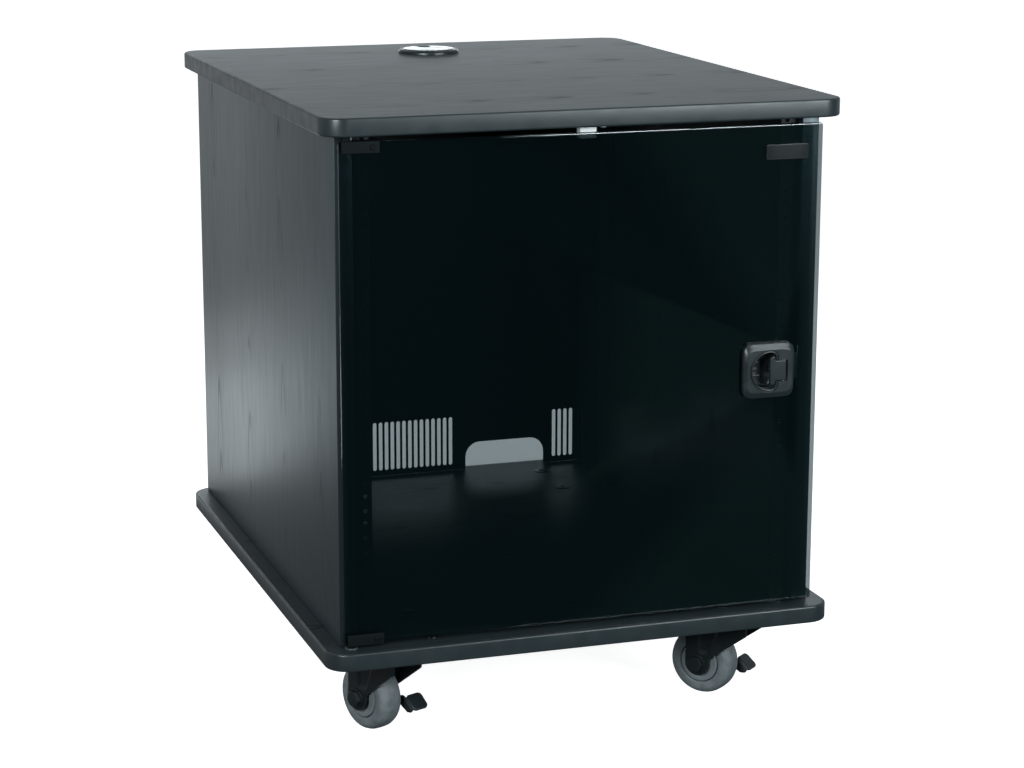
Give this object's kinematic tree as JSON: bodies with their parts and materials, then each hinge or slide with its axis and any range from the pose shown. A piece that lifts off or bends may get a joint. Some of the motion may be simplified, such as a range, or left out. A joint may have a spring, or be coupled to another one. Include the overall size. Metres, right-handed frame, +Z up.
{
  "type": "mobile equipment rack cabinet",
  "caption": "Mobile equipment rack cabinet of black wood-grain board with a tinted glass door, rack rails, vented back, cable grommet and swivel casters.",
  "frame": {"origin": "on the ground, under the middle of the slabs", "axes": "+Z up, -Y towards the glass door (front), +X to the right seen from the front"},
  "size_m": [0.5652, 0.6858, 0.6784],
  "materials": {
    "black_ash_laminate": "satin wood-grain laminate",
    "edge_band": "satin",
    "black_steel": "fine powder coat",
    "zinc_plate": "zinc plated",
    "black_plastic": "fine moulded texture",
    "tinted_glass": "polished smoked glass",
    "grey_rubber": "soft grey rubber",
    "grey_nylon": "moulded grey nylon",
    "white_nylon": "moulded white nylon"
  },
  "bodies": {
    "root": {"bottom_panel": "black_ash_laminate", "bottom_edge_band": "edge_band", "top_panel": "black_ash_laminate", "top_edge_band": "edge_band", "left_side_panel": "black_ash_laminate", "right_side_panel": "black_ash_laminate", "back_panel": "black_steel", "front_left_rail": "black_steel", "front_right_rail": "black_steel", "rear_left_rail": "black_steel", "rear_right_rail": "black_steel", "grommet_ring": "black_plastic", "door_stop": "white_nylon", "strike_plate": "zinc_plate", "lower_pivot_bush": "grey_nylon", "upper_pivot_bush": "grey_nylon", "front_left_caster_plate": "black_steel", "front_left_kingpin": "zinc_plate", "front_right_caster_plate": "black_steel", "front_right_kingpin": "zinc_plate", "rear_left_caster_plate": "black_steel", "rear_left_kingpin": "zinc_plate", "rear_right_caster_plate": "black_steel", "rear_right_kingpin": "zinc_plate"},
    "door": {"glass_door": "tinted_glass", "upper_hinge_clip": "black_steel", "lower_hinge_clip": "black_steel", "upper_clip_screw": "zinc_plate", "lower_clip_screw": "zinc_plate", "upper_pivot_pin": "zinc_plate", "lower_pivot_pin": "zinc_plate", "latch_escutcheon": "black_plastic", "latch_case": "black_plastic", "latch_clamp_plate": "black_steel", "latch_pin": "zinc_plate", "badge_plate": "black_plastic"},
    "latch_paddle": {"latch_paddle": "black_plastic"},
    "latch_bolt": {"latch_bolt": "zinc_plate"},
    "grommet_cap": {"grommet_cap": "black_plastic"},
    "front_left_swivel": {"front_left_fork": "black_steel", "front_left_axle_bolt": "black_steel"},
    "front_left_wheel": {"front_left_tyre": "grey_rubber", "front_left_hub": "grey_nylon"},
    "front_left_brake": {"front_left_brake_lever": "black_steel"},
    "front_right_swivel": {"front_right_fork": "black_steel", "front_right_axle_bolt": "black_steel"},
    "front_right_wheel": {"front_right_tyre": "grey_rubber", "front_right_hub": "grey_nylon"},
    "front_right_brake": {"front_right_brake_lever": "black_steel"},
    "rear_left_swivel": {"rear_left_fork": "black_steel", "rear_left_axle_bolt": "black_steel"},
    "rear_left_wheel": {"rear_left_tyre": "grey_rubber", "rear_left_hub": "grey_nylon"},
    "rear_right_swivel": {"rear_right_fork": "black_steel", "rear_right_axle_bolt": "black_steel"},
    "rear_right_wheel": {"rear_right_tyre": "grey_rubber", "rear_right_hub": "grey_nylon"}
  },
  "joints": [
    {"name": "door_hinge", "type": "hinge", "parent": "root", "child": "door", "pos_m": [-0.255, -0.323, 0.12105], "axis": [0, 0, -1], "range_deg": [0, 180]},
    {"name": "latch_paddle_hinge", "type": "hinge", "parent": "door", "child": "latch_paddle", "pos_m": [0.2223, -0.331, 0.38505], "axis": [0, 0, 1], "range_deg": [0, 25], "stiffness_Nm_per_rad": 0.05},
    {"name": "latch_bolt_slide", "type": "slide", "parent": "door", "child": "latch_bolt", "axis": [-1, 0, 0], "range_m": [0, 0.0083]},
    {"name": "grommet_cap_lift", "type": "slide", "parent": "root", "child": "grommet_cap", "axis": [0, 0, 1], "range_m": [0, 0.03]},
    {"name": "front_left_swivel_turn", "type": "hinge", "parent": "root", "child": "front_left_swivel", "pos_m": [-0.197, -0.267, 0.0914], "axis": [0, 0, 1], "continuous": true},
    {"name": "front_left_wheel_spin", "type": "hinge", "parent": "front_left_swivel", "child": "front_left_wheel", "pos_m": [-0.21042, -0.23685, 0.0375], "axis": [0.9135, 0.4067, 0], "continuous": true},
    {"name": "front_left_brake_press", "type": "hinge", "parent": "front_left_swivel", "child": "front_left_brake", "pos_m": [-0.21042, -0.23685, 0.0375], "axis": [0.9135, 0.4067, 0], "range_deg": [0, 12]},
    {"name": "front_right_swivel_turn", "type": "hinge", "parent": "root", "child": "front_right_swivel", "pos_m": [0.197, -0.267, 0.0914], "axis": [0, 0, 1], "continuous": true},
    {"name": "front_right_wheel_spin", "type": "hinge", "parent": "front_right_swivel", "child": "front_right_wheel", "pos_m": [0.17579, -0.24172, 0.0375], "axis": [0.766, 0.6428, 0], "continuous": true},
    {"name": "front_right_brake_press", "type": "hinge", "parent": "front_right_swivel", "child": "front_right_brake", "pos_m": [0.17579, -0.24172, 0.0375], "axis": [0.766, 0.6428, 0], "range_deg": [0, 12]},
    {"name": "rear_left_swivel_turn", "type": "hinge", "parent": "root", "child": "rear_left_swivel", "pos_m": [-0.197, 0.245, 0.0914], "axis": [0, 0, 1], "continuous": true},
    {"name": "rear_left_wheel_spin", "type": "hinge", "parent": "rear_left_swivel", "child": "rear_left_wheel", "pos_m": [-0.16842, 0.2285, 0.0375], "axis": [-0.5, -0.866, 0], "continuous": true},
    {"name": "rear_right_swivel_turn", "type": "hinge", "parent": "root", "child": "rear_right_swivel", "pos_m": [0.197, 0.245, 0.0914], "axis": [0, 0, 1], "continuous": true},
    {"name": "rear_right_wheel_spin", "type": "hinge", "parent": "rear_right_swivel", "child": "rear_right_wheel", "pos_m": [0.22888, 0.23646, 0.0375], "axis": [-0.2588, -0.9659, 0], "continuous": true}
  ],
  "couplings": [
    {"joint": "latch_bolt_slide", "follows": "latch_paddle_hinge", "m_per_rad": 0.0188}
  ]
}
